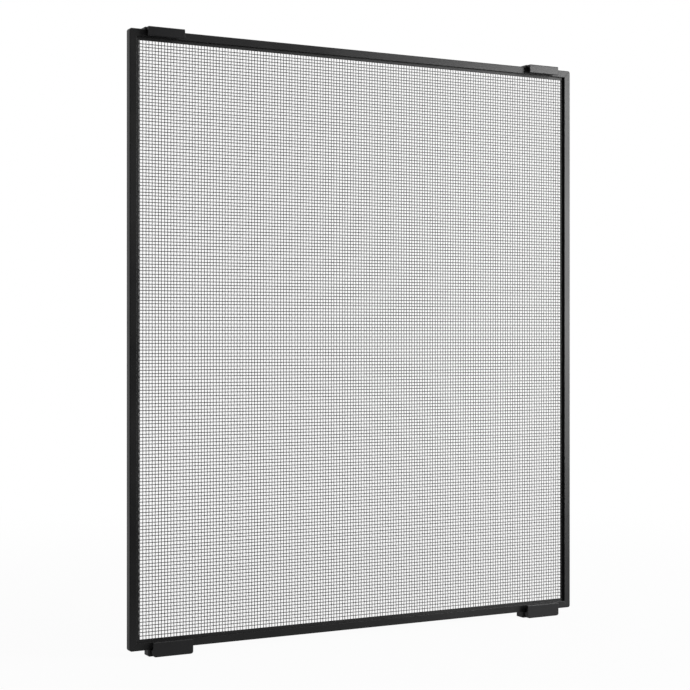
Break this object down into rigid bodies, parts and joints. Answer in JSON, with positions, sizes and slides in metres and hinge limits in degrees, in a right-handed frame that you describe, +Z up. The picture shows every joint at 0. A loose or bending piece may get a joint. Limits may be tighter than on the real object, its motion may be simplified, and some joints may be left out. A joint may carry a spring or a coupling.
{
  "type": "window screen frame",
  "caption": "Upright insect screen for a window: mitred metal frame, stretched wire mesh and hook clips that grip the window's lip.",
  "frame": {"origin": "on the ground plane under the middle of the part, at the height of the bottom clips' undersides", "axes": "+X across the window to the right seen from the front, +Z up along the stiles, -Y towards the window that the hooks grip"},
  "size_m": [1.04, 0.0384, 1.2173],
  "materials": {
    "frame_profile": "satin black coating on aluminium",
    "mesh_wire": "satin black coated wire",
    "spline": "matt black rubber",
    "hook_clip": "satin black moulded plastic",
    "corner_key": "matt black moulded plastic",
    "screw": "black plated steel"
  },
  "bodies": {
    "root": {"top_rail": "frame_profile", "bottom_rail": "frame_profile", "left_stile": "frame_profile", "right_stile": "frame_profile", "top_left_corner_key": "corner_key", "top_right_corner_key": "corner_key", "bottom_left_corner_key": "corner_key", "bottom_right_corner_key": "corner_key", "screen_mesh": "mesh_wire", "spline_top": "spline", "spline_bottom": "spline", "spline_left": "spline", "spline_right": "spline", "top_left_clip": "hook_clip", "top_right_clip": "hook_clip", "bottom_left_clip": "hook_clip", "bottom_right_clip": "hook_clip", "top_left_clip_screws": "screw", "top_right_clip_screws": "screw", "bottom_left_clip_screws": "screw", "bottom_right_clip_screws": "screw"}
  },
  "joints": []
}
